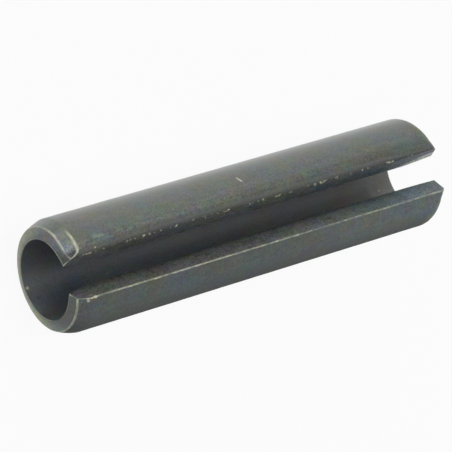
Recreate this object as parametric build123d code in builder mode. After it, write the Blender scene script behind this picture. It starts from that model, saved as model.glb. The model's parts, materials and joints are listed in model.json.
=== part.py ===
"""Slotted spring pin, heavy duty, nominal 12 x 50 mm, in its free state.

One piece of spring steel strip, rolled into a tube that doesn't close. The pin lies on its
side along X with the slot on top, which is how it comes to rest: the metal missing at the
slot makes the opposite side the heavy one. The origin is under its middle, on the surface
that it lies on. All sizes are in millimetres.
"""

import os
from math import asin, cos, sin, tan

from build123d import *

os.makedirs("parts", exist_ok=True)

# Driving dimensions
pin_length = 50.0  # overall, over the two inner rims
free_diameter = 12.55  # before driving: more than the 12 mm hole that it springs against
wall = 2.5  # thickness of the strip
slot_mouth = 4.9  # width of the slot across its outer corners
lip_flat = 1.6  # outer stretch of each lip that the rolls leave straight
rollover_radius = 0.9  # outer corner of the lip on +Y, drawn over by the shear
burr_radius = 0.15  # outer corner of the lip on -Y, broken just enough to handle
nose_length = 1.45  # length of the rounded lead-in at each end
nose_drop = 0.58  # how far the lead-in falls below the full radius
rim_lead = 0.25  # how far the inner rim stands out past the outer edge of the end face
mouth_flare = 0.65  # how much the bore widens, on the radius, at each end
mouth_depth = 4.0  # length of the widening

# Sizes that follow
outer_radius = free_diameter / 2
bore_radius = outer_radius - wall
half_length = pin_length / 2
edge_radius = outer_radius - nose_drop
rim_radius = bore_radius + mouth_flare
edge_x = half_length - rim_lead
shoulder_x = edge_x - nose_length

# A lip's flat is a chord of the round, so nothing stands out past the free diameter. The
# strip's edge is square to that flat, and so the slot opens outwards.
corner_angle = asin(slot_mouth / 2 / outer_radius)
lip_angle = corner_angle + asin(lip_flat / 2 / outer_radius)
corner_y = outer_radius * sin(corner_angle)
corner_z = outer_radius * cos(corner_angle)
faces_meet_z = corner_z - corner_y / tan(lip_angle)
reach = lip_flat + wall  # runs the cutter past the chord's far end, into the open
flat_end_y = corner_y + reach * cos(lip_angle)
flat_end_z = corner_z - reach * sin(lip_angle)
cutter_top = outer_radius + wall

# The pin's own axis lies one radius above the surface
along_pin = Plane(origin=(0, 0, outer_radius), x_dir=(1, 0, 0), z_dir=(0, -1, 0))
across_pin = Plane(origin=(0, 0, outer_radius), x_dir=(0, 1, 0), z_dir=(1, 0, 0))
pin_axis = Axis((0, 0, outer_radius), (1, 0, 0))

with BuildPart() as spring_pin:
    # The wall in section: bore with a widened mouth, coned end face, rounded lead-in
    with BuildSketch(along_pin):
        with BuildLine():
            Line((0, bore_radius), (half_length - mouth_depth, bore_radius))
            Line((half_length - mouth_depth, bore_radius), (half_length, rim_radius))
            Line((half_length, rim_radius), (edge_x, edge_radius))
            TangentArc((shoulder_x, outer_radius), (edge_x, edge_radius), tangent=(1, 0))
            Line((shoulder_x, outer_radius), (0, outer_radius))
            mirror(about=Plane.YZ)
        make_face()
    revolve(axis=pin_axis)

    # The slot, with the lips' flats and outer corners, cut along the whole length
    with BuildSketch(across_pin) as slot:
        with BuildLine():
            Polyline(
                (0, faces_meet_z),
                (corner_y, corner_z),
                (flat_end_y, flat_end_z),
                (flat_end_y, cutter_top),
                (0, cutter_top),
            )
            mirror(about=Plane.YZ)
        make_face()
        fillet(slot.vertices().sort_by_distance((corner_y, corner_z))[0], rollover_radius)
        fillet(slot.vertices().sort_by_distance((-corner_y, corner_z))[0], burr_radius)
    extrude(amount=pin_length, both=True, mode=Mode.SUBTRACT)

spring_pin.part.label = "spring_pin"
export_step(spring_pin.part, "parts/spring_pin.step")
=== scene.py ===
# %% [markdown]
# # A slotted spring pin, rolled from strip
#
# This lesson dresses one small steel part. A slotted spring pin is a piece of spring steel
# strip rolled into a tube that doesn't quite close. It is pushed into a hole a little
# smaller than itself, and the slot lets it squeeze shut and grip. We take its sizes from the
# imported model, roll a fine mesh of it with Geometry Nodes, give it an oiled black finish
# with rubbed edges, and light it softly over a pale floor.
#
# The pin lies along X with its slot upwards. Its near end is at -X and its far end at +X. The
# shear that cut the strip drew the steel over at the +Y lip and left the -Y lip sharp.

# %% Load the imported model
import json
from math import asin, cos, degrees, pi, radians, sin
from types import SimpleNamespace

import bpy
import numpy as np
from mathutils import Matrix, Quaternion, Vector


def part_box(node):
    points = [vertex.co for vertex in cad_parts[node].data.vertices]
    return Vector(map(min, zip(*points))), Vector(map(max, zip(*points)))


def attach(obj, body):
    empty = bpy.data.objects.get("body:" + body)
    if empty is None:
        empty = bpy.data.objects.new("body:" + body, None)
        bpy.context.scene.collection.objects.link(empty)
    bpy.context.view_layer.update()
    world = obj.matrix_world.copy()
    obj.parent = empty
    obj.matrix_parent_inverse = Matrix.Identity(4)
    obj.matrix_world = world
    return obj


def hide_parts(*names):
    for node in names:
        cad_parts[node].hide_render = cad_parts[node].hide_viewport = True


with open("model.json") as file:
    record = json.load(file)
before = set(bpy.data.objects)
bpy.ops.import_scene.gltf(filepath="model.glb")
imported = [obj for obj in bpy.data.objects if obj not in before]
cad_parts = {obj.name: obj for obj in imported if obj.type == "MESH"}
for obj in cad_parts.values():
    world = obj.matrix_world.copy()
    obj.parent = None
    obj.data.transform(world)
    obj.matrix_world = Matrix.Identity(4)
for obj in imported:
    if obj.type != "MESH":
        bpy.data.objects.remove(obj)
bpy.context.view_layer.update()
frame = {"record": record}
MM = 0.001

# %% [markdown]
# ## Sizes
#
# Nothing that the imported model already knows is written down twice. Its two mounts give the
# radii, where the rounded ends begin and how far the bore's mouths reach in. Only what they
# don't say, the slot and the small forms at the edges and ends, is named here. All of them
# become named inputs of the tree that rolls the pin.

# %% Read the sizes
low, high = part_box("spring_pin")
outside, bore = (mount["dims"] for mount in frame["record"]["mounts"])
sizes = {
    # what the model knows
    "Axis height": outside["r_mm"] * MM,
    "Half length": (high.x - low.x) / 2,
    "Outer radius": outside["r_mm"] * MM - low.z,
    "Bore radius": bore["r_mm"] * MM,
    "Shoulder": outside["length_mm"] / 2 * MM,
    "Mouth": bore["length_mm"] / 2 * MM,
    # the slot and its lips
    "Half slot": 2.45 * MM,
    "Lip flat": 1.6 * MM,
    "Lip lean": 0.28 * MM,
    "Rollover radius": 1.17 * MM,
    "Near rollover": 0.8 * MM,
    "Far rollover": 0.35 * MM,
    "Rollover sweep": radians(55),
    "Burr radius": 0.15 * MM,
    # the noses: how far from the middle each begins, and how far it drops
    "Near shoulder": 22.7 * MM,
    "Far shoulder": 23.65 * MM,
    "Stub shoulder": 24.0 * MM,
    "Nose drop": 0.58 * MM,
    "Coined drop": 0.68 * MM,
    "Stub drop": 0.48 * MM,
    # the scoop in the near nose
    "Scoop start": 0.15 * MM,
    "Scoop depth": 0.1 * MM,
    "Scoop corner": 1.2 * MM,
    "Rim height": 0.05 * MM,
    # the bore's mouths and the end faces
    "Mouth flare": 0.65 * MM,
    "Under flare": 0.3 * MM,
    "Rim lead": 0.25 * MM,
    "Tip round": 0.08 * MM,
    "Crop skew": 0.14 * MM,
    # all over
    "Edge break": 0.11 * MM,
    "Unevenness": 0.018 * MM,
}
for name, value in sizes.items():
    shown = f"{degrees(value):.0f} degrees" if name == "Rollover sweep" else f"{value / MM:.3f} mm"
    print(f"{name}: {shown}")

# %% [markdown]
# ## Arithmetic in a node tree
#
# A shape that follows a rule is easiest to read as a formula, and a node tree is hard to read
# as one. Laid out by hand, it would be hundreds of nodes. This small class wraps a socket
# instead, so that `a * b + c` in Python adds the Math nodes that work it out. It serves the
# geometry tree and, later, the finish.

# %% A number that flows through nodes


class Field:
    """A number inside a node tree that takes part in ordinary arithmetic."""

    def __init__(self, socket):
        self.socket = socket

    def math(self, operation, *others):
        """The result of a Math node fed by this number and the others."""
        node = self.socket.id_data.nodes.new("ShaderNodeMath")
        node.operation = operation
        for plug, value in zip(node.inputs, (self, *others)):
            connect(value, plug)
        return Field(node.outputs[0])

    def __add__(self, other):
        return self.math("ADD", other)

    def __sub__(self, other):
        return self.math("SUBTRACT", other)

    def __mul__(self, other):
        return self.math("MULTIPLY", other)

    def __truediv__(self, other):
        return self.math("DIVIDE", other)

    def __neg__(self):
        return self.math("MULTIPLY", -1)

    def __rsub__(self, other):
        return -self + other

    def __gt__(self, other):
        return self.math("GREATER_THAN", other)

    __radd__ = __add__
    __rmul__ = __mul__


def connect(value, plug):
    """Feeds a Field, a socket or a plain value into an input."""
    if isinstance(value, Field):
        value = value.socket
    if isinstance(value, bpy.types.NodeSocket):
        plug.id_data.links.new(value, plug)
    else:
        plug.default_value = value


print("numbers can flow through nodes")

# %% [markdown]
# ## Formulas and nodes that come back
#
# Nearly every rule here says where something begins and ends. `between` turns such a pair into
# a share from 0 to 1, `mix` uses a share to go from one value to another, and `hump` makes a
# smooth hill. Any other node is a kind with its settings and inputs, so one helper adds it.

# %% Short names for what both trees use


def sine(angle):
    return angle.math("SINE")


def cosine(angle):
    return angle.math("COSINE")


def root(value):
    """The square root of a number, or of 0 where it is negative."""
    return value.math("MAXIMUM", 0).math("SQRT")


def between(value, start, end):
    """0 up to start, 1 from end, and straight between them."""
    return ((value - start) / (end - start)).math("MAXIMUM", 0).math("MINIMUM", 1)


def mix(a, b, share):
    """a where share is 0, b where it is 1."""
    return (b - a) * share + a


def larger(first, *others):
    """The largest of some numbers."""
    for other in others:
        first = first.math("MAXIMUM", other)
    return first


def hump(distance, width):
    """A smooth hill: 1 where distance is 0, and 0 from width on."""
    slope = distance / width
    left = (1 - slope * slope).math("MAXIMUM", 0)
    return left * left


def add_node(tree, kind, inputs=None, **settings):
    """A node with its settings and some of its inputs given."""
    node = tree.nodes.new(kind)
    for name, value in settings.items():
        setattr(node, name, value)
    for name, value in (inputs or {}).items():
        connect(value, node.inputs[name])
    return node


def vector_math(tree, operation, *vectors):
    """The vector, or the length, that a Vector Math node makes of vectors."""
    node = add_node(tree, "ShaderNodeVectorMath", operation=operation)
    for plug, vector in zip(node.inputs, vectors):
        connect(vector, plug)
    return node.outputs["Value" if operation == "LENGTH" else "Vector"]


def scaled(tree, vector, factor):
    """A vector times a number."""
    inputs = {"Vector": vector, "Scale": factor}
    return add_node(tree, "ShaderNodeVectorMath", inputs, operation="SCALE").outputs["Vector"]


print("formulas and nodes take a line each")

# %% [markdown]
# ## The strip, before it is rolled
#
# The real pin starts as a flat strip, and so does this one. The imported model's own mesh could
# be smoothed, but its long thin triangles shade badly. So a Mesh Cube node makes a box
# of fine cells: one axis runs along the pin, one round it and one through the wall. The rules
# below then move its points, which rolls the box up. One closed box stays one closed shell, so
# there are no seams to sew and no poles.
#
# Sharp edges look false on metal. The last cell at each edge is therefore kept as narrow as
# the edge break, and the corner point between two such cells steps back by 0.29 of it. That
# is where the middle of a rounded corner lies. The ends get extra cells for their small forms.
#
# A point's place is told in the pin's own terms. Its wall runs from 0 on the bore to 1 on the
# outside, and its turn from 0 under the pin to 1 at a lip.

# %% Space the cells of the strip
CELLS = {"along": 330, "round": 132, "through": 8}
OUTERMOST = 0.999
CORNER_STEP = 0.29
END_LENGTH = 0.12
END_CELLS = 0.36
LIP_MARGIN = 2


def at_end(place):
    """1 on the outermost row of points at either end of an axis from -1 to 1."""
    return place.math("ABSOLUTE") > OUTERMOST


def crowded(place):
    """An axis from -1 to 1 that gives END_LENGTH at each end a share END_CELLS of its cells."""
    out = place.math("ABSOLUTE")
    middle = between(out, 0, 1 - END_CELLS) * (1 - END_LENGTH)
    return (middle + between(out, 1 - END_CELLS, 1) * END_LENGTH) * place.math("SIGN")


def spaced(place, cells, margin, stepped, crowd=False):
    """An axis from -1 to 1 whose last cells are margin wide, with stepped edges rounded."""
    inner = between(place, 2 / cells - 1, 1 - 2 / cells) * 2 - 1
    if crowd:
        inner = crowded(inner)
    edge = 1 - stepped * margin * CORNER_STEP
    ends = place.math("SIGN") * edge
    return mix(inner * (1 - margin), ends, at_end(place))


def strip_point(tree, size):
    """Where a point of the flat strip lies, in the pin's own terms."""
    position = tree.nodes.new("GeometryNodeInputPosition").outputs[0]
    axes = add_node(tree, "ShaderNodeSeparateXYZ", {"Vector": position}).outputs
    along, around, through = (Field(axis) for axis in axes)
    ends, lips, faces = at_end(along), at_end(around), at_end(through)
    half = size["Half length"]
    end_margin = size["Edge break"] / half
    wall_margin = size["Edge break"] / (size["Outer radius"] - size["Bore radius"]) * 2
    shared = spaced(through, CELLS["through"], wall_margin, larger(ends, lips) * faces)
    turned = spaced(around, CELLS["round"], end_margin * LIP_MARGIN, lips * larger(ends, faces))
    at = SimpleNamespace(end_face=ends, wall=shared / 2 + 0.5, turn=turned.math("ABSOLUTE"))
    at.along = spaced(along, CELLS["along"], end_margin, ends * larger(lips, faces), crowd=True)
    at.side = -around.math("SIGN")
    at.drawn_side = at.side > 0
    at.near_end = -along > 0
    at.from_middle = at.along.math("ABSOLUTE") * half
    at.outer_x = at.from_middle * (half - size["Rim lead"]) / half
    return at


long, wide, deep = CELLS.values()
print("the strip has", 4 * (long * wide + wide * deep + deep * long), "triangles")

# %% [markdown]
# ## The rolled section
#
# Seen from its end, the outside of the pin is an arc that starts under it and climbs to each
# lip. The rolls can't bend the last of the strip, so each lip ends in a short flat, which is
# a chord of the round. Where the shear entered the strip, the corner is drawn over in a
# generous round, and where it left, it is almost sharp. The lip's own face is square to the
# flat, and so the slot opens outwards.
#
# A profile swept along a curve could give this section. But the drawn-over corner tightens
# towards both ends, and that lip leans into the slot, so the section is worked out afresh for
# every point. Each stretch of it gets its own share of the cells.

# %% The lips, and the outer and inner outlines of the section
BARREL_TURNS = (0, 0.62)
FLAT_TURNS = (0.62, 0.8)
CORNER_TURNS = (0.8, 1)
ROLLOVER_RUN = (17 * MM, 24 * MM)
LEAN_RUN = (2 * MM, 25 * MM)


def lip_shape(at, size):
    """The slot's half width, the lip's outer corner and the tilt of its flat."""
    end_rollover = mix(size["Far rollover"], size["Near rollover"], at.near_end)
    to_end = between(at.from_middle, *ROLLOVER_RUN)
    rollover = mix(size["Rollover radius"], end_rollover, to_end)
    lean = between(at.from_middle, *LEAN_RUN) * at.near_end * at.drawn_side
    lip = SimpleNamespace(half_slot=size["Half slot"] - lean * lean * size["Lip lean"])
    lip.corner = mix(size["Burr radius"], rollover, at.drawn_side)
    lip.sweep = mix(pi / 2, size["Rollover sweep"], at.drawn_side)
    radius, flat = size["Outer radius"], size["Lip flat"]
    lip.reach = (lip.half_slot / radius).math("ARCSINE")
    lip.tilt = lip.reach + (flat / radius / 2).math("ARCSINE")
    return lip


def outer_outline(turn, lip, size):
    """(y, z) from the pin's axis, at a share of the way from its underside to a lip."""
    radius, corner = size["Outer radius"], lip.corner
    angle = between(turn, *BARREL_TURNS) * (pi - 2 * lip.tilt + lip.reach)
    run = between(turn, *FLAT_TURNS) * (size["Lip flat"] - corner * sine(lip.sweep))
    bend = between(turn, *CORNER_TURNS) * lip.sweep
    forward = run + corner * sine(bend)
    inward = corner - corner * cosine(bend)
    y = radius * sine(angle) - forward * cosine(lip.tilt) - inward * sine(lip.tilt)
    z = forward * sine(lip.tilt) - radius * cosine(angle) - inward * cosine(lip.tilt)
    return y, z


def bore_outline(turn, lip, bore_here, size):
    """(y, z) on the bore, whose ends lie in the same plane as the lip's face."""
    radius = size["Outer radius"]
    level = root(radius * radius - lip.half_slot * lip.half_slot)
    depth = lip.half_slot * sine(lip.tilt) + level * cosine(lip.tilt)
    fall = depth - root(depth * depth - radius * radius + bore_here * bore_here)
    lip_angle = ((lip.half_slot - fall * sine(lip.tilt)) / bore_here).math("ARCSINE")
    angle = turn * (pi - lip_angle)
    return bore_here * sine(angle), -(bore_here * cosine(angle))


half_opening = degrees(asin(sizes["Half slot"] / sizes["Outer radius"]))
print(f"each lip begins {half_opening:.1f} degrees from the top")

# %% [markdown]
# ## The noses
#
# So that it starts into its hole, the pin is rounded at both ends. The near end is rather
# chamfered, and at the drawn-over lip a tool pressed a flat scoop there. The steel that it
# pushed aside stands as a low rim round the scoop, whose edge swings back towards the end
# before the lip's corner. At the far end both lips have a stubbier nose than the rest.
#
# A Boolean cut could make a nose, but would leave ragged triangles at its edge. Here the nose
# is a surface round the axis. A point of the section that stands out past it slides inwards
# until it lies on it: towards the axis on the barrel, and along the lip's face at a lip, so
# that the face stays flat.

# %% Draw the noses in
CHAMFER_TURNS = (0.1, 0.3)
CHAMFER_SHARES = (0.45, 0.85)
SCOOP_TURNS = (0.53, 0.6)
CLOSING_TURNS = (0.74, 1)
CLOSING_LOSS = 0.95
STUB_TURNS = (0.68, 0.8)
RIM_MIDDLE = 0.04 * MM
RIM_WIDTH = 0.26 * MM


def nose_kind(at):
    """Adds how far a point's nose is scooped, closing, stubby or coined flat."""
    at.scooped = between(at.turn, *SCOOP_TURNS) * at.drawn_side * at.near_end
    closing = between(at.turn, *CLOSING_TURNS) * at.drawn_side * at.near_end
    at.closing = closing * closing
    at.stub = (1 - at.near_end) * between(at.turn, *STUB_TURNS)
    chamfer = mix(*CHAMFER_SHARES, at.drawn_side * between(at.turn, *CHAMFER_TURNS))
    at.coined = larger(at.scooped, at.near_end * chamfer)


def nose_radius(at, size):
    """The largest radius that the nose leaves at a point's distance from the middle."""
    shoulder = mix(size["Far shoulder"], size["Near shoulder"], at.near_end)
    shoulder = mix(mix(shoulder, size["Stub shoulder"], at.stub), size["Shoulder"], at.coined)
    shoulder = shoulder + at.closing * size["Scoop corner"] + at.scooped * size["Scoop start"]
    left = 1 - at.closing * CLOSING_LOSS
    drop = mix(size["Nose drop"], size["Stub drop"], at.stub) * left
    reach = size["Half length"] - size["Rim lead"] - shoulder
    past = (at.outer_x - shoulder).math("MAXIMUM", 0)
    arc = (reach * reach + drop * drop) / (drop * 2)
    rounded = arc - root(arc * arc - past * past)
    share = past / reach
    cone = share * mix(drop, size["Coined drop"] * left, at.scooped)
    bowl = share * (1 - share) * 4 * size["Scoop depth"] * at.scooped * left
    return size["Outer radius"] - mix(rounded, cone, at.coined) - bowl


def slide_in(y, z, nose, tilt, lip_share):
    """(y, z) moved inwards until it is no further than nose from the axis."""
    away = root(y * y + z * z)
    step_y = mix(-(y / away), -sine(tilt), lip_share)
    step_z = mix(-(z / away), -cosine(tilt), lip_share)
    length = root(step_y * step_y + step_z * step_z)
    step_y, step_z = step_y / length, step_z / length
    along = y * step_y + z * step_z
    step = -along - root(along * along - away * away + nose * nose)
    step = step.math("MAXIMUM", 0)
    return y + step_y * step, z + step_z * step


def raise_rim(y, z, at, size):
    """(y, z) moved outwards on the low rim round the scoop."""
    scoop_edge = size["Shoulder"] + size["Scoop start"] + at.closing * size["Scoop corner"]
    at.past_scoop = at.outer_x - scoop_edge
    rim = hump(at.past_scoop - RIM_MIDDLE, RIM_WIDTH) * at.scooped
    raised = rim * size["Rim height"] / root(y * y + z * z) + 1
    return y * raised, z * raised


for end in "Near", "Far":
    nose_length = sizes["Half length"] - sizes["Rim lead"] - sizes[end + " shoulder"]
    print(end, "nose:", round(nose_length / MM, 2), "mm long")

# %% [markdown]
# ## The bore's mouths and the end faces
#
# The bore opens towards each end in a shallow funnel, wider under the near end. The end face
# leans back from the inner rim, as the cropping tool leaves it, and the lips' tips are a
# little rounder. The far end was cropped slightly askew. Only the far tip of the sharp lip
# stayed almost as it was cut.
#
# All this could be cut and bevelled by hand. As formulas, the forms run into each other
# without a seam.

# %% Open the mouths and lean the end faces
UNDER_TURNS = (0.5, 0.1)
FAR_TIP_TURNS = (0.7, 0.85)
FAR_TIP_MOUTH = 0.8
FAR_TIP_LEAN = 0.2
TIP_WALL = (0, 0.3)
TIP_TURNS = (0.9, 1)
SKEW_Y, SKEW_Z = 0.5, 0.85


def mouth_radius(at, size):
    """The bore's radius at a point's distance from the middle."""
    under = between(at.turn, *UNDER_TURNS) * at.near_end
    flare = size["Mouth flare"] + under * size["Under flare"]
    opened = between(at.from_middle, size["Mouth"], size["Half length"])
    funnel = opened * (1 + opened) / 2 * flare
    at.far_tip = (1 - at.drawn_side) * (1 - at.near_end) * between(at.turn, *FAR_TIP_TURNS)
    return size["Bore radius"] + funnel * (1 - at.far_tip * FAR_TIP_MOUTH)


def end_lead(y, z, at, size):
    """How far the end face stands back at (y, z), as a share of the half length."""
    tip = 1 - between(at.wall, *TIP_WALL)
    tip = tip * tip * between(at.turn, *TIP_TURNS) * (1 - at.far_tip) * size["Tip round"]
    aloft = (y * at.side * SKEW_Y + z * SKEW_Z) / size["Outer radius"]
    skew = (1 - aloft) / 2 * (1 - at.near_end) * size["Crop skew"]
    leaning = size["Rim lead"] * at.wall * (1 - at.far_tip * FAR_TIP_LEAN)
    return (leaning + tip + skew * (1 - at.far_tip)) / size["Half length"]


mouth = sizes["Bore radius"] + sizes["Mouth flare"]
print("the mouths open to a radius of", round(mouth / MM, 2), "mm")

# %% [markdown]
# ## The chip and the unevenness
#
# The sharp edge was chipped once, and no rolled strip is quite even. Sculpting could show
# both, but a formula gives the same each time. The chip is a hump of depth round one
# point. The unevenness is a slow noise that only sinks the surface towards the axis, so the
# pin stays inside its true size.

# %% Dent the pin a little
CHIP_PLACE = (-23.15 * MM, -2.5 * MM, 12.0 * MM)
CHIP_PUSH = (0, -0.1 * MM, -0.2 * MM)
CHIP_RADIUS = 0.6 * MM
UNEVEN_SCALE = 0.9
UNEVEN_RANGE = (0.3, 0.7)


def dented(tree, place, size):
    """A place moved by the chip in the sharp edge and by the small unevenness of the steel."""
    away = vector_math(tree, "SUBTRACT", place, CHIP_PLACE)
    depth = hump(Field(vector_math(tree, "LENGTH", away)), CHIP_RADIUS)
    place = vector_math(tree, "ADD", place, scaled(tree, CHIP_PUSH, depth))
    pattern = add_node(
        tree,
        "ShaderNodeTexNoise",
        {"Vector": scaled(tree, place, 1 / MM), "Scale": UNEVEN_SCALE, "Detail": 2.0},
        noise_dimensions="3D",
    )
    axis = add_node(tree, "ShaderNodeCombineXYZ", {"Z": size["Axis height"]})
    from_axis = vector_math(tree, "SUBTRACT", place, axis.outputs[0])
    outwards = vector_math(tree, "NORMALIZE", vector_math(tree, "MULTIPLY", from_axis, (0, 1, 1)))
    hollow = between(Field(pattern.outputs[0]), *UNEVEN_RANGE) * size["Unevenness"]
    return vector_math(tree, "SUBTRACT", place, scaled(tree, outwards, hollow))


print("the chip is", round(Vector(CHIP_PUSH).length / MM, 2), "mm deep")

# %% [markdown]
# ## The tree that rolls the pin
#
# Now the rules are put together in one Geometry Nodes tree. Its sizes are named inputs, so
# the same tree rolls any pin of this kind. A Python loop over the points could roll it too,
# but the tree is faster, and its sizes can still be changed in Blender.
#
# It stores on each point how far it lies through the wall, round the strip and from its end,
# for the finish to read, and ends in Realize Instances and Set Material.

# %% Build the tree
SKIN_WALL = 0.9


def new_tree(name, inputs):
    """An empty geometry tree with a mesh output, its sizes as inputs and a Finish."""
    tree = bpy.data.node_groups.new(name, "GeometryNodeTree")
    for title, value in inputs.items():
        socket = tree.interface.new_socket(title, in_out="INPUT", socket_type="NodeSocketFloat")
        socket.default_value = value
    tree.interface.new_socket("Finish", in_out="INPUT", socket_type="NodeSocketMaterial")
    tree.interface.new_socket("Mesh", in_out="OUTPUT", socket_type="NodeSocketGeometry")
    return tree


def store(tree, geometry, name, value):
    """The geometry with a number stored on each point under a name."""
    kind, inputs = "GeometryNodeStoreNamedAttribute", {"Geometry": geometry, "Name": name}
    node = add_node(tree, kind, inputs, data_type="FLOAT", domain="POINT")
    connect(value, node.inputs["Value"])
    return node.outputs["Geometry"]


def rolled_place(tree, at, size):
    """Where a point of the strip comes to lie on the pin."""
    lip = lip_shape(at, size)
    y, z = outer_outline(at.turn, lip, size)
    nose_kind(at)
    y, z = slide_in(y, z, nose_radius(at, size), lip.tilt, between(at.turn, *FLAT_TURNS))
    y, z = raise_rim(y, z, at, size)
    bore_y, bore_z = bore_outline(at.turn, lip, mouth_radius(at, size), size)
    y, z = mix(bore_y, y, at.wall), mix(bore_z, z, at.wall)
    x = at.along * size["Half length"] * (1 - end_lead(y, z, at, size))
    rolled = {"X": x, "Y": y * at.side, "Z": z + size["Axis height"]}
    place = add_node(tree, "ShaderNodeCombineXYZ", rolled).outputs[0]
    return dented(tree, place, size)


def pin_tree():
    """The tree that turns a flat strip of cells into the pin."""
    tree = new_tree("roll_strip", sizes)
    given = tree.nodes.new("NodeGroupInput").outputs
    size = {name: Field(given[name]) for name in sizes}
    points = {"Vertices " + axis: cells + 1 for axis, cells in zip("XYZ", CELLS.values())}
    strip = add_node(tree, "GeometryNodeMeshCube", {"Size": (2, 2, 2), **points})
    at = strip_point(tree, size)
    place = rolled_place(tree, at, size)
    carried = {
        "wall": at.wall,
        "round": at.turn * at.side,
        "end_face": at.end_face,
        "from_end": (size["Half length"] - at.from_middle) / MM,
        "scooped": at.scooped * (at.wall > SKIN_WALL),
        "past_scoop": at.past_scoop / MM,
    }
    mesh = strip.outputs["Mesh"]
    for name, value in carried.items():
        mesh = store(tree, mesh, name, value)
    rolled = add_node(tree, "GeometryNodeSetPosition", {"Geometry": mesh, "Position": place})
    smooth = add_node(tree, "GeometryNodeSetShadeSmooth", {"Geometry": rolled.outputs[0]})
    whole = add_node(tree, "GeometryNodeRealizeInstances", {"Geometry": smooth.outputs[0]})
    finish = {"Geometry": whole.outputs[0], "Material": given["Finish"]}
    painted = add_node(tree, "GeometryNodeSetMaterial", finish)
    add_node(tree, "NodeGroupOutput", {"Mesh": painted.outputs[0]})
    return tree


roll_strip = pin_tree()
print("roll_strip has", len(roll_strip.nodes), "nodes")

# %% [markdown]
# ## The finish
#
# The pin was blackened in a hot bath and oiled. Such a black is never one colour: it is a thin
# crust over grey steel, a little green here and purple there, with grain from the rolled
# strip. A painted texture could show that, but would need unwrapping and would blur close up.
# Noise on the pin's own coordinates, in millimetres, stays sharp and keeps its real size.

# %% Helpers for shader trees
NOISE_GAIN = 4
DAB_EDGE = (0.1, 0.6)


def empty_tree(owner):
    """The node tree of a material or a world, with nothing in it."""
    owner.use_nodes = True
    owner.node_tree.nodes.clear()
    return owner.node_tree


def attribute(tree, name):
    """A number that the mesh carries under a name."""
    return Field(add_node(tree, "ShaderNodeAttribute", attribute_name=name).outputs["Fac"])


def noise(tree, place, scale, detail, roughness):
    """Noise from about -1 to 1, with scale patches to a millimetre."""
    pattern = add_node(
        tree,
        "ShaderNodeTexNoise",
        {"Vector": place, "Scale": scale, "Detail": detail, "Roughness": roughness},
    )
    return (Field(pattern.outputs["Fac"]) - 0.5) * NOISE_GAIN


def noises(tree, place, table):
    """A noise for each name in a table of shifts, scales, details and roughnesses."""
    found = {}
    for name, (shift, *settings) in table.items():
        # a shift moves the pattern, so that no two noises rise and fall together
        found[name] = noise(tree, vector_math(tree, "ADD", place, shift), *settings)
    return found


def blend(tree, share, first, second):
    """The first colour where share is 0 and the second where it is 1."""
    node = tree.nodes.new("ShaderNodeMix")
    node.data_type = "RGBA"
    connect(share, node.inputs["Factor"])
    first_plug, second_plug = [plug for plug in node.inputs if plug.type == "RGBA"]
    connect(first, first_plug)
    connect(second, second_plug)
    return [plug for plug in node.outputs if plug.type == "RGBA"][0]


def dab(tree, place, start, end, width):
    """A dab of a brush from start to end, in millimetres: 1 on the line, 0 at width from it."""
    run = Vector(end) - Vector(start)
    from_start = vector_math(tree, "SUBTRACT", place, start)
    dot = add_node(tree, "ShaderNodeVectorMath", {0: from_start, 1: run}, operation="DOT_PRODUCT")
    share = between(Field(dot.outputs["Value"]), 0, run.length_squared)
    foot = scaled(tree, run, share)
    away = vector_math(tree, "SUBTRACT", from_start, foot)
    return between(hump(Field(vector_math(tree, "LENGTH", away)), width), *DAB_EDGE)


print("the finish has its helpers")

# %% [markdown]
# ## Places on the pin
#
# A finish that knows the part is more than a pattern laid over it. Its places could be painted
# on as masks by hand, but would be lost with the next mesh. The rolled mesh carries its own
# measures, so a few short formulas say where the bore, the lips' faces, the scoop and the
# edges are.
#
# Each pair below says where a mask is 0 and where it is 1. TURNS count from the underside to a
# lip, WALL from the bore to the outside, and PAST in millimetres from the scoop's edge towards
# the end.

# %% Name the places on the pin
OUTSIDE_WALL = (0.985, 0.999)
BORE_WALL = (0.03, 0.005)
LIP_FACE_TURNS = (0.9965, 0.9995)
UNDERSIDE_TURNS = (0.62, 0.48)
OILY_TURNS = (0.575, 0.42)
CREST_START_TURNS = (0.6, 0.66)
CREST_END_TURNS = (0.86, 0.8)
SEAM_TURNS = (0.77, 0.93)
SEAM_END_PAST = (-0.3, 0.0)
BORE_CORNER_WALL = (0.1, 0.04)
BORE_CORNER_TURNS = (0.985, 0.9965)
RIM_LINE_PAST = 0.02
RIM_LINE_WIDTH = 0.24
FACET_PAST = (0.1, 0.35)
FACET_TURNS = (0.82, 0.76)
ARM_PAST = 0.42
ARM_WIDTH = 0.35
ARM_TURNS = (0.7, 0.78)
FOOT_PAST = (0.25, 0.4)
FOOT_TURN = 0.815
FOOT_WIDTH = 0.1


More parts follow.
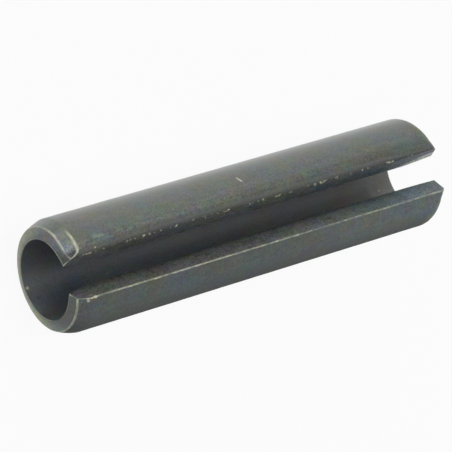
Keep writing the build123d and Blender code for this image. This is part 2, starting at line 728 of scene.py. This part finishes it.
def places_on_pin(tree, place):
    """Masks from 0 to 1 that say where on the pin a point lies."""
    on = SimpleNamespace(wall=attribute(tree, "wall"), around=attribute(tree, "round"))
    on.turn = on.around.math("ABSOLUTE")
    on.drawn_side = on.around > 0
    on.sharp_side = 1 - on.drawn_side
    on.along = Field(add_node(tree, "ShaderNodeSeparateXYZ", {"Vector": place}).outputs["X"])
    on.far_half = on.along > 0
    on.end_face, on.from_end = attribute(tree, "end_face"), attribute(tree, "from_end")

    on.outside = between(on.wall, *OUTSIDE_WALL)
    on.bore = between(on.wall, *BORE_WALL)
    on.lip_face = between(on.turn, *LIP_FACE_TURNS)
    on.low_side = on.outside * on.sharp_side * (1 - on.lip_face)
    # the lower part of the low side: painted shade in the crust, and a duller finish
    on.underside = between(on.turn, *UNDERSIDE_TURNS) * on.low_side
    on.oily = between(on.turn, *OILY_TURNS) * on.drawn_side * on.outside
    crest = between(on.turn, *CREST_START_TURNS) * between(on.turn, *CREST_END_TURNS)
    on.crest = crest * on.drawn_side * on.outside
    # the drawn lip's corner into the bore: painted light lifts it where it faces the dark bore
    bore_corner = between(on.wall, *BORE_CORNER_WALL) * between(on.turn, *BORE_CORNER_TURNS)
    on.bore_corner = bore_corner * on.drawn_side

    scooped, past = attribute(tree, "scooped"), attribute(tree, "past_scoop")
    on.scoop_rim = hump(past - RIM_LINE_PAST, RIM_LINE_WIDTH) * scooped
    on.facet = between(past, *FACET_PAST) * between(on.turn, *FACET_TURNS) * scooped
    # the crease at the scoop's foot, which takes a painted shadow
    arm = hump(past - ARM_PAST, ARM_WIDTH) * between(on.turn, *ARM_TURNS)
    foot = hump(on.turn - FOOT_TURN, FOOT_WIDTH)
    on.crease = larger(arm, between(past, *FOOT_PAST) * foot) * scooped
    seam = between(on.turn, *SEAM_TURNS) * on.drawn_side * (1 - on.lip_face)
    on.seam = seam * (1 - between(past, *SEAM_END_PAST) * scooped)
    return on


print("the finish knows the pin")

# %% [markdown]
# ## The crust's grain and tint
#
# The black is a crust of fine crystals, thin enough for light to play in, so it leans to green
# in one place and to purple or blue in the next. One noise would look like fog, so five give
# the grain, from clouds several millimetres wide down to crystals and the strip's fine lines.
# Four more make a warm and a rosy drift of tint, each both slow and quick.

# %% Make the grain and the tint
GRAINS = {
    "clouds": ((0, 0, 0), 0.16, 2.0, 0.5),
    "mottle": ((0, 30, 0), 0.8, 3.0, 0.6),
    "grain": ((0, 0, 0), 2.6, 2.0, 0.6),
    "crystals": ((0, 0, 70), 6.5, 1.0, 0.5),
}
LINES = (1.0, 2.0, 0.5)
LINE_STRETCH = {"along": 0.12, "round": 40, "wall": 3}
TINTS = {
    "slow warm": ((0, 0, 50), 0.35, 4.0, 0.8),
    "quick warm": ((9, 0, 0), 2.6, 2.0, 0.7),
    "slow rosy": ((0, 90, 0), 0.45, 4.0, 0.8),
    "quick rosy": ((0, 8, 0), 3.0, 2.0, 0.7),
}
SLOW_WARM = 1.9
SLOW_ROSY = 1.7
# the shares of warm and rosy drift in red (X), green (Y) and blue (Z)
TINT_SHARES = {"X": (0.13, 0.11), "Y": (0, -0.1), "Z": (-0.2, 0.13)}


def grains(tree, place, on):
    """The crust's grain, from the widest to the finest, and the strip's rolling lines."""
    grain = noises(tree, place, GRAINS)
    unrolled = {
        "X": on.along * LINE_STRETCH["along"],
        "Y": on.around * LINE_STRETCH["round"],
        "Z": on.wall * LINE_STRETCH["wall"],
    }
    strip_place = add_node(tree, "ShaderNodeCombineXYZ", unrolled).outputs[0]
    grain["lines"] = noise(tree, strip_place, *LINES)
    return grain


def tint_of(tree, place):
    """A colour near white that drifts to green, purple and blue."""
    drift = noises(tree, place, TINTS)
    warm = drift["slow warm"] * SLOW_WARM + drift["quick warm"]
    rosy = drift["slow rosy"] * SLOW_ROSY + drift["quick rosy"]
    colour = {axis: warm * w + rosy * r + 1 for axis, (w, r) in TINT_SHARES.items()}
    return add_node(tree, "ShaderNodeCombineXYZ", colour).outputs[0]


print(len(GRAINS) + 1, "noises of grain and", len(TINTS), "of tint")

# %% [markdown]
# ## The crust's colours
#
# The bath took well on the rolled outside, and left the bore and the sheared faces darker and
# bluer. The low side gets a darker, bluer colour as painted shade, for the side away from the
# side lamp. The drawn-over lip's face has a lighter band near the far end. The lower part of
# the near end face and the underside of the far nose get a pale painted sheen. Vertex colours
# could hold all this, but would be only as sharp as the mesh. Blends by the places just named
# are as sharp as needed.
#
# In the pairs, X counts millimetres along the pin from its middle, and END from its end.

# %% Colour the crust by its places
OXIDE = (0.0935, 0.1075, 0.0925, 1)
# painted shade: the low side, away from the side lamp, is darker and bluer
SHADE_SIDE_TINT = (0.75, 0.79, 0.87, 1)
BORE = (0.043, 0.05, 0.056, 1)
FAR_BORE = (0.036, 0.038, 0.033, 1)
FAR_BORE_X = (8, 22)
LIP_NEAR = (0.084, 0.09, 0.088, 1)
LIP_FAR = (0.068, 0.088, 0.095, 1)
LIP_X = (-5, 20)
FACET = (0.165, 0.19, 0.18, 1)
# a lighter band on the drawn-over lip's face near the far end
LIP_BAND = (0.43, 0.445, 0.455, 1)
LIP_BAND_X = (18, 22)
LIP_BAND_LOW = 0.12
LIP_BAND_RISE = 0.45
LIP_BAND_RISE_X = (19.5, 24.5)
LIP_BAND_WANDER = 0.04
LIP_BAND_EDGE = (-0.06, 0.06)
LIP_BAND_SHARE = 0.85
# a pale painted sheen where light catches the near end face and the far nose
PAINTED_SHEEN = (0.36, 0.36, 0.28, 1)
SHEEN_SHARE = 0.75
PALE_TURNS = (0.5, 0.1)
PALE_WALL = (0, 0.5)
FAR_NOSE_END = (2.0, 0.5)


def crust_colour(tree, on, grain):
    """The colour of the black where it is whole, before its tint and grain."""
    # painted shade on the low side, away from the side lamp
    shade_side_oxide = [share * tint for share, tint in zip(OXIDE, SHADE_SIDE_TINT)]
    colour = blend(tree, on.low_side, OXIDE, shade_side_oxide)
    bore_colour = blend(tree, between(on.along, *FAR_BORE_X), BORE, FAR_BORE)
    lip_colour = blend(tree, between(on.along, *LIP_X), LIP_NEAR, LIP_FAR)
    colour = blend(tree, on.bore, colour, bore_colour)
    colour = blend(tree, on.lip_face, colour, lip_colour)
    colour = blend(tree, on.facet, colour, FACET)

    # a lighter band on the drawn-over lip's face, rising towards the far end
    band_top = between(on.along, *LIP_BAND_RISE_X) * LIP_BAND_RISE
    band_top = band_top + grain["mottle"] * LIP_BAND_WANDER + LIP_BAND_LOW
    lip_band = between(band_top - on.wall, *LIP_BAND_EDGE) * between(on.along, *LIP_BAND_X)
    lip_band = lip_band * on.drawn_side * on.lip_face
    colour = blend(tree, lip_band * LIP_BAND_SHARE, colour, LIP_BAND)

    # painted sheen on the lower part of the near end face and under the far nose
    rim = on.end_face * between(on.turn, *PALE_TURNS) * between(on.wall, *PALE_WALL)
    rim = rim * (1 - on.far_half)
    far_nose_sheen = between(on.from_end, *FAR_NOSE_END) * on.underside * on.far_half
    colour = blend(tree, rim * SHEEN_SHARE, colour, PAINTED_SHEEN)
    return blend(tree, far_nose_sheen * SHEEN_SHARE, colour, PAINTED_SHEEN)


print(f"the crust gives back {OXIDE[1]:.0%} of the light, and the bore {BORE[1]:.0%}")

# %% [markdown]
# ## The crust's grain and painted shade
#
# The crust is also lighter and darker by its grain and by place. Much of this is painted light
# and shade: the underside is darkened as painted shade and eased again at the very bottom, a
# painted shadow lies in the crease at the scoop's foot, and painted light lifts the bore's wall
# where the lip shades it and the dark line at the bore's corner. The drawn-over corner and the
# lower end faces are darker, and the crest, the low side and the sharp lip change from end to
# end. More colours could say that, but a factor is easier to judge. In the pairs, ROUND is the
# turn, counted below 0 on the sharp side.

# %% Shade the crust, partly with painted light and shade
GRAIN_SHARES = {"mottle": 0.12, "grain": 0.2, "crystals": 0.34, "lines": 0.06}
CLOUD_SHARE = 0.1
LIP_COARSER = 0.9
BORE_FINER = 0.5
UPPER_COARSER = 0.45
UPPER_TURNS = (0.6, 0.7)
DARKEST = 0.3
WHOLE_CRUST = 0.92
BORE_WALL_PAINTED_LIGHT = 1.25
BORE_WALL_ROUND = (0, -0.12)
DEEP_BORE_ROUND = (-0.12, -0.26)
DEEP_BORE_X = (-21, -15)
LOWEST_TURNS = (0.4, 0.2)
LOW_END_TURNS = (0.3, 0.55)
SHADES = {
    "seam": 0.28,
    # painted shade: the underside, away from the side lamp, is darkened
    "underside": 0.41,
    # eases that painted shade again at the very bottom
    "lowest side": 1.5,
    # painted shadow in the crease at the scoop's foot
    "crease": 0.22,
    # painted light where the lip above shades the bore
    "deep bore": 1.6,
    # painted light on that corner, which faces only the dark bore
    "bore corner": 3.0,
    "low end face": 0.56,
}
LOW_SIDE_X = (0, 18)
CREST_X = (-20, 18)
NEAR_AND_FAR_SHADES = {"low side": (1, 1.3), "crest": (1.3, 0.78), "sharp lip": (0.9, 1.4)}


def crust_grain_and_painted_shade(on, grain):
    """How many times its plain colour the crust shows: its grain, and painted light and shade."""
    fine = sum(grain[name] * share for name, share in GRAIN_SHARES.items())
    coarser = on.lip_face * LIP_COARSER - on.bore * BORE_FINER
    coarser = coarser + between(on.turn, *UPPER_TURNS) * on.drawn_side * UPPER_COARSER
    shade = grain["clouds"] * CLOUD_SHARE + fine * (coarser + 1) + 1
    shade = shade.math("MAXIMUM", DARKEST)

    # painted light: the bore's wall on the sharp side is lifted where it lies in the lip's shade
    bore_wall = on.bore * between(on.around, *BORE_WALL_ROUND)
    shade = shade * mix(WHOLE_CRUST, BORE_WALL_PAINTED_LIGHT, bore_wall)
    # more painted light further up that wall, away from the near end
    deep_bore = between(on.around, *DEEP_BORE_ROUND) * between(on.along, *DEEP_BORE_X)
    plain = {
        "seam": on.seam,
        "underside": on.underside,
        "lowest side": between(on.turn, *LOWEST_TURNS) * on.low_side,
        "crease": on.crease,
        "deep bore": on.bore * deep_bore,
        "bore corner": on.bore_corner,
        "low end face": on.end_face * on.sharp_side * between(on.turn, *LOW_END_TURNS),
    }
    for name, here in plain.items():
        shade = shade * mix(1, SHADES[name], here)
    changing = {
        "low side": (on.low_side, LOW_SIDE_X),
        "crest": (on.crest, CREST_X),
        "sharp lip": (on.lip_face * on.sharp_side, LIP_X),
    }
    for name, (here, stretch) in changing.items():
        along_pin = mix(*NEAR_AND_FAR_SHADES[name], between(on.along, *stretch))
        shade = shade * mix(1, along_pin, here)
    return shade


print(len(SHADES) + len(NEAR_AND_FAR_SHADES), "places are shaded")

# %% [markdown]
# ## Where the black is rubbed away
#
# A loose pin rubs against others in its box, and loses its black first where it is sharp: on
# the edge that the shear left, at the rims of the end faces, and at the tips of the lips. A
# node that finds sharp edges by itself treats them all alike. Here each has its own formula,
# and noise breaks it into dashes. At the first level of a pair in BREAKS the black is whole,
# and at the second it is gone.

# %% Bare the edges
WEAR = {
    "dashes": ((0, 0, 0), 0.55, 3.0, 0.65),
    "dots": ((40, 0, 0), 0.9, 2.0, 0.6),
    "fine dots": ((70, 0, 0), 2.2, 1.0, 0.5),
}
SHARP_WALL = (0.956, 0.985)
SHARP_TURNS = (0.85, 0.91)
SHARP_WANDER = 0.03
SHARP_NOISE = {"dashes": 0.8, "fine dots": 0.6}
SHARP_BREAKS = (-0.5, 0.8)
SHARP_SHARES = (0.1, 0.75)
WORN_MORE = 0.4
WORN_MORE_X = (2, -8)
DRAWN_WALL = (0.93, 0.96)
DRAWN_TURNS = (0.945, 0.975)
DRAWN_DOTS = 0.6
DRAWN_BREAKS = (0.25, 0.8)
RIM_WALL = (0.95, 0.98)
RIM_TURNS = (0.985, 0.993)
RIM_END = (0.22, 0.13)
RIM_DOTS = 0.5
RIM_BREAKS = (-0.9, 0.8)
BORE_RIM_WALL = (0.14, 0.05)
BORE_RIM_TURNS = (0.35, 0.6)
BORE_RIM_SHARES = (0.25, 0.75)
SCOOP_BREAKS = (-1.6, 0.2)


def worn_edges(tree, place, on):
    """How bare the steel is at the edges: 0 where the black is whole, 1 where it is gone."""
    wear = noises(tree, place, WEAR)
    dots = wear["dots"]
    sharp = between(on.turn + dots * SHARP_WANDER, *SHARP_TURNS)
    sharp = sharp * between(on.wall, *SHARP_WALL) * on.sharp_side
    broken = sum(wear[name] * share for name, share in SHARP_NOISE.items())
    broken = broken + between(on.along, *WORN_MORE_X) * WORN_MORE
    sharp = sharp * mix(*SHARP_SHARES, between(broken, *SHARP_BREAKS))

    drawn = between(on.turn, *DRAWN_TURNS) * between(on.wall, *DRAWN_WALL)
    specks = between(wear["fine dots"] + dots * DRAWN_DOTS, *DRAWN_BREAKS)
    drawn = drawn * on.drawn_side * specks

    rims = larger(between(on.wall, *RIM_WALL), between(on.turn, *RIM_TURNS)) * on.end_face
    rims = larger(rims, between(on.from_end, *RIM_END) * on.outside)
    rims = rims * between(wear["dashes"] + dots * RIM_DOTS, *RIM_BREAKS)
    upper = on.drawn_side * between(on.turn, *BORE_RIM_TURNS)
    bore_rim = between(on.wall, *BORE_RIM_WALL) * on.end_face * mix(*BORE_RIM_SHARES, upper)
    scoop = on.scoop_rim * between(dots, *SCOOP_BREAKS)
    return larger(sharp, drawn, rims, bore_rim, scoop)


print("five kinds of edge are rubbed")

# %% [markdown]
# ## Single marks
#
# A few marks belong to this one pin, such as a scratch on its barrel and the bright floor of
# the chip. A decal could carry them, but a dab of a brush between two places needs no picture.
# The small nicks are the hearts of a few cells in a Voronoi pattern.

# %% Add the marks and the nicks
MARKS = {
    "scratch": ((-0.99, 5.14, 9.87), (-0.83, 4.76, 10.36), 0.17, 0.8),
    "its tail": ((-0.83, 4.76, 10.36), (-0.8, 4.2, 10.93), 0.1, 0.15),
    "chip": ((-23.66, -2.5, 11.95), (-23.6, -2.68, 11.85), 0.3, 1.0),
    "beside the chip": ((-23.3, -2.33, 11.95), (-22.75, -2.43, 11.95), 0.28, 0.9),
    "far corner": ((23.6, 4.5, 10.4), (23.85, 4.2, 10.7), 0.16, 0.5),
    "far edge": ((23.87, 3.6, 11.2), (23.92, 3.1, 11.5), 0.12, 0.4),
    "on the lip": ((17.3, 2.27, 11.93), (17.7, 2.27, 11.93), 0.1, 1.0),
    "beside it": ((18.0, 2.26, 11.94), (18.1, 2.26, 11.94), 0.09, 0.9),
    "on the crest": ((-21.0, 3.6, 11.4), (-20.0, 3.55, 11.44), 0.3, 0.22),
    "in the mouth": ((-24.68, -0.92, 1.79), (-24.66, -0.88, 1.75), 0.24, 0.45),
    "in the bore": ((22.45, -1.6, 2.76), (22.53, -1.6, 2.76), 0.2, 0.3),
    "on the lower lip": ((5.3, -1.11, 11.36), (5.4, -1.11, 11.36), 0.15, 0.3),
}
NICK_SCALE = 0.42
NICK_DISTANCE = (0.055, 0.02)
NICKS_KEPT = (0.3, 0.9)
NICK_SHARE = 0.5


def marks(tree, place):
    """The single marks and the scattered nicks, as one mask."""
    cells = add_node(tree, "ShaderNodeTexVoronoi", {"Vector": place, "Scale": NICK_SCALE}).outputs
    kept = Field(add_node(tree, "ShaderNodeSeparateXYZ", {"Vector": cells["Color"]}).outputs[0])
    mask = between(Field(cells["Distance"]), *NICK_DISTANCE) * between(kept, *NICKS_KEPT)
    mask = mask * NICK_SHARE
    for start, end, width, strength in MARKS.values():
        mask = larger(mask, dab(tree, place, start, end, width) * strength)
    return mask


print(len(MARKS), "single marks")

# %% [markdown]
# ## Put the finish together
#
# Colour alone would look like paint. So the crust takes a little relief from its grain too, and
# the steel turns metallic and smoother where it is bare. On one side the pin is still wet with
# oil, a clear coat that mirrors the floor at a glance along the barrel. The underside has dried
# and is dull.
#
# Two shaders, one for the crust and one for the steel, could be mixed by the wear. One whose
# inputs change with the wear does the same and stays simpler.

# %% Build the finish
BARE = (0.46, 0.47, 0.35, 1)
BARE_METALLIC = 0.85
BARE_ROUGHNESS = 0.32
BROWN = (0.11, 0.075, 0.05, 1)
BROWN_SPOT = ((-23.0, -2.75, 11.9), (-22.8, -2.75, 11.9), 0.3)
RELIEF_SHARES = {"grain": 0.8, "crystals": 0.4, "mottle": 0.8}
RELIEF_HEIGHT = 0.01 * MM
OILED_ROUGHNESS = 0.45
DRY_ROUGHNESS = 0.8
ROUGHNESS_GRAIN = 0.04
OIL_SHARES = (0.75, 1)
OIL_X = (-24, -8)


def blackened_steel():
    """Oiled black oxide over spring steel, bare at its rubbed edges."""
    material = bpy.data.materials.new("oiled_black_steel")
    tree = empty_tree(material)
    coordinates = add_node(tree, "ShaderNodeTexCoord").outputs["Object"]
    place = scaled(tree, coordinates, 1 / MM)
    on = places_on_pin(tree, place)
    grain = grains(tree, place, on)
    bare = larger(worn_edges(tree, place, on), marks(tree, place))
    colour = vector_math(tree, "MULTIPLY", tint_of(tree, place), crust_colour(tree, on, grain))
    colour = scaled(tree, colour, crust_grain_and_painted_shade(on, grain))
    colour = blend(tree, dab(tree, place, *BROWN_SPOT), colour, BROWN)
    colour = blend(tree, bare, colour, BARE)
    height = sum(grain[name] * share for name, share in RELIEF_SHARES.items())
    relief = add_node(tree, "ShaderNodeBump", {"Height": height, "Distance": RELIEF_HEIGHT})
    dull = (grain["clouds"] + grain["grain"]) * ROUGHNESS_GRAIN
    dull = dull + mix(OILED_ROUGHNESS, DRY_ROUGHNESS, on.underside)
    shader = add_node(
        tree,
        "ShaderNodeBsdfPrincipled",
        {
            "Base Color": colour,
            "Metallic": bare * BARE_METALLIC,
            "Roughness": mix(dull, BARE_ROUGHNESS, bare),
            "Coat Weight": on.oily * mix(*OIL_SHARES, between(on.along, *OIL_X)),
            "Coat Roughness": 0.28,
            "Coat IOR": 2.0,
            "Normal": relief.outputs[0],
        },
    )
    add_node(tree, "ShaderNodeOutputMaterial", {"Surface": shader.outputs[0]})
    return material


black_finish = blackened_steel()
print("oiled_black_steel has", len(black_finish.node_tree.nodes), "nodes")

# %% [markdown]
# ## Roll it
#
# The tree runs as a modifier on an empty mesh. Its inputs are set by their identifiers before
# the object is first evaluated. The modifier could stay, but a plain mesh is safer to hand
# over, so its result is kept and the modifier goes.

# %% Run the tree and keep the mesh


def in_scene(name, data):
    """An object with a mesh, a lamp or a camera as its data, linked to the scene."""
    item = bpy.data.objects.new(name, data)
    bpy.context.scene.collection.objects.link(item)
    return item


def run_tree(name, tree, values):
    """A plain mesh object made by a geometry tree, with its inputs set by title."""
    maker = in_scene(name + "_maker", bpy.data.meshes.new(name + "_maker"))
    modifier = maker.modifiers.new(tree.name, "NODES")
    modifier.node_group = tree
    for item in tree.interface.items_tree:
        if item.in_out == "INPUT" and item.name in values:
            modifier[item.identifier] = values[item.name]
    evaluated = maker.evaluated_get(bpy.context.evaluated_depsgraph_get())
    mesh = bpy.data.meshes.new_from_object(evaluated)
    maker.modifiers.remove(modifier)
    bpy.data.objects.remove(maker)
    return in_scene(name, mesh)


pin = run_tree("rolled_pin", roll_strip, {**sizes, "Finish": black_finish})
pin.data.name = "rolled_pin"
places = np.array([vertex.co for vertex in pin.data.vertices]) / MM
print("pin:", len(pin.data.polygons), "faces")
print("from", places.min(0).round(3), "to", places.max(0).round(3), "mm")

# %% [markdown]
# ## The floor
#
# The pin lies on a plain pale floor. A white diffuse floor would turn grey where the lamps
# are weak. So this one is mostly a white glow to the camera, and half a glow as the oiled
# steel mirrors it. The rest is an ordinary diffuse grey, which keeps the pin's soft shadow and
# throws a little light up under the pin.

# %% Make the floor
FLOOR_SIZE = 1.2
CAMERA_GLOW = 0.93
MIRROR_GLOW = 0.5
FLOOR_COLOUR = (0.65, 0.65, 0.65, 1)
WHITE = (1, 1, 1, 1)

floor_mesh = bpy.data.meshes.new("floor")
reach = FLOOR_SIZE / 2
floor_corners = [(-reach, -reach, 0), (reach, -reach, 0), (reach, reach, 0), (-reach, reach, 0)]
floor_mesh.from_pydata(floor_corners, [], [(0, 1, 2, 3)])
floor = in_scene("floor", floor_mesh)

pale_floor = bpy.data.materials.new("pale_floor")
tree = empty_tree(pale_floor)
ray = add_node(tree, "ShaderNodeLightPath").outputs
glow_share = Field(ray["Is Camera Ray"]) * CAMERA_GLOW + Field(ray["Is Glossy Ray"]) * MIRROR_GLOW
matt = add_node(tree, "ShaderNodeBsdfDiffuse", {"Color": FLOOR_COLOUR}).outputs[0]
glow = add_node(tree, "ShaderNodeEmission", {"Color": WHITE}).outputs[0]
both = add_node(tree, "ShaderNodeMixShader", {0: glow_share, 1: matt, 2: glow})
add_node(tree, "ShaderNodeOutputMaterial", {"Surface": both.outputs[0]})
floor_mesh.materials.append(pale_floor)
print("floor:", FLOOR_SIZE, "m wide")

# %% [markdown]
# ## The lamps
#
# A small shiny part is best lit in a light tent, whose white walls have no hard edges to
# mirror. Six large soft lamps stand in for them. The one at the side of the drawn-over lip is
# stronger than the one opposite, and that shades the round of the barrel. Those at the two
# ends light the end faces and reach into the slot. A sun would be simpler, but would leave the
# bore black. Together the lamps let a colour render about as it is written.

# %% Set the lamps
LAMP_AIM = Vector((0, 0, 0.006))
LAMPS = {
    "overhead": ((0, 0, 0.6), (0.5, 0.5), 1.7),
    "side": ((0, 0.59, 0.13), (1.0, 0.25), 1.8),
    "back": ((0, -0.55, 0.25), (1.0, 0.25), 0.4),
    "far_end": ((0.59, 0, 0.11), (1.0, 0.22), 1.9),
    "far_above": ((0.344, 0, 0.49), (0.5, 0.22), 0.9),
    "near_end": ((-0.59, 0, 0.09), (1.0, 0.18), 3.0),
}


def area_lamp(name, place, size, power):
    """Adds a rectangular soft lamp that faces the pin and is itself out of sight."""
    light = bpy.data.lights.new(name, "AREA")
    light.shape = "RECTANGLE"
    light.size, light.size_y = size
    light.energy = power
    lamp = in_scene(name, light)
    lamp.location = place
    lamp.rotation_euler = (Vector(place) - LAMP_AIM).to_track_quat("Z", "Y").to_euler()
    lamp.visible_camera = False


for name, (place, size, power) in LAMPS.items():
    area_lamp(name, place, size, power)
    print(name, "lamp:", power, "W")

# %% [markdown]
# ## The room
#
# The world is white to the camera and pale in the gloss, and gives almost no light itself. A
# picture of a room would give livelier gloss, but a plain level needs no file.

# %% Set the world
ROOM_LIGHT = 0.05
SKY_IN_GLOSS = 0.35
SKY_TO_CAMERA = 1

world = bpy.data.worlds.new("white_room")
bpy.context.scene.world = world
tree = empty_tree(world)
ray = add_node(tree, "ShaderNodeLightPath").outputs
strength = mix(ROOM_LIGHT, SKY_IN_GLOSS, Field(ray["Is Glossy Ray"]))
strength = mix(strength, SKY_TO_CAMERA, Field(ray["Is Camera Ray"]))
room = add_node(tree, "ShaderNodeBackground", {"Color": WHITE, "Strength": strength})
add_node(tree, "ShaderNodeOutputWorld", {"Surface": room.outputs[0]})
print("the room gives", ROOM_LIGHT, "of a white room's light")

# %% [markdown]
# ## The camera
#
# A long lens looks down on the pin from a third of a metre away, past its near end. A short
# one from nearby would make that end look swollen. The camera is rolled, so that the pin
# climbs across the picture. Azimuth is counted from +X towards +Y.

# %% Set the camera
AIM = Vector((-1.3225, -0.0079, 6.275)) * MM
DISTANCE = 339.95 * MM
AZIMUTH = radians(168.569)
ELEVATION = radians(56.154)
ROLL = radians(87.064)
LENS = 248.57
SENSOR_WIDTH = 36
CLIP_START = 10 * MM

level = cos(ELEVATION)
towards = Vector((level * cos(AZIMUTH), level * sin(AZIMUTH), sin(ELEVATION)))
camera_data = bpy.data.cameras.new("camera")
camera_data.lens = LENS
camera_data.sensor_width = SENSOR_WIDTH
camera_data.clip_start = CLIP_START
camera = in_scene("camera", camera_data)
camera.location = AIM + towards * DISTANCE
camera.rotation_mode = "QUATERNION"
camera.rotation_quaternion = towards.to_track_quat("Z", "Y") @ Quaternion((0, 0, 1), ROLL)
bpy.context.scene.camera = camera
bpy.context.scene.view_settings.view_transform = "Standard"
print("the camera stands at", tuple(round(c / MM) for c in camera.location), "mm")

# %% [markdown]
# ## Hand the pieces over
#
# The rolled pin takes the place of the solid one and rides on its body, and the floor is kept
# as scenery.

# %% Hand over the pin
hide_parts("spring_pin")
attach(pin, "root")

print("the dressed pin takes the solid one's place")
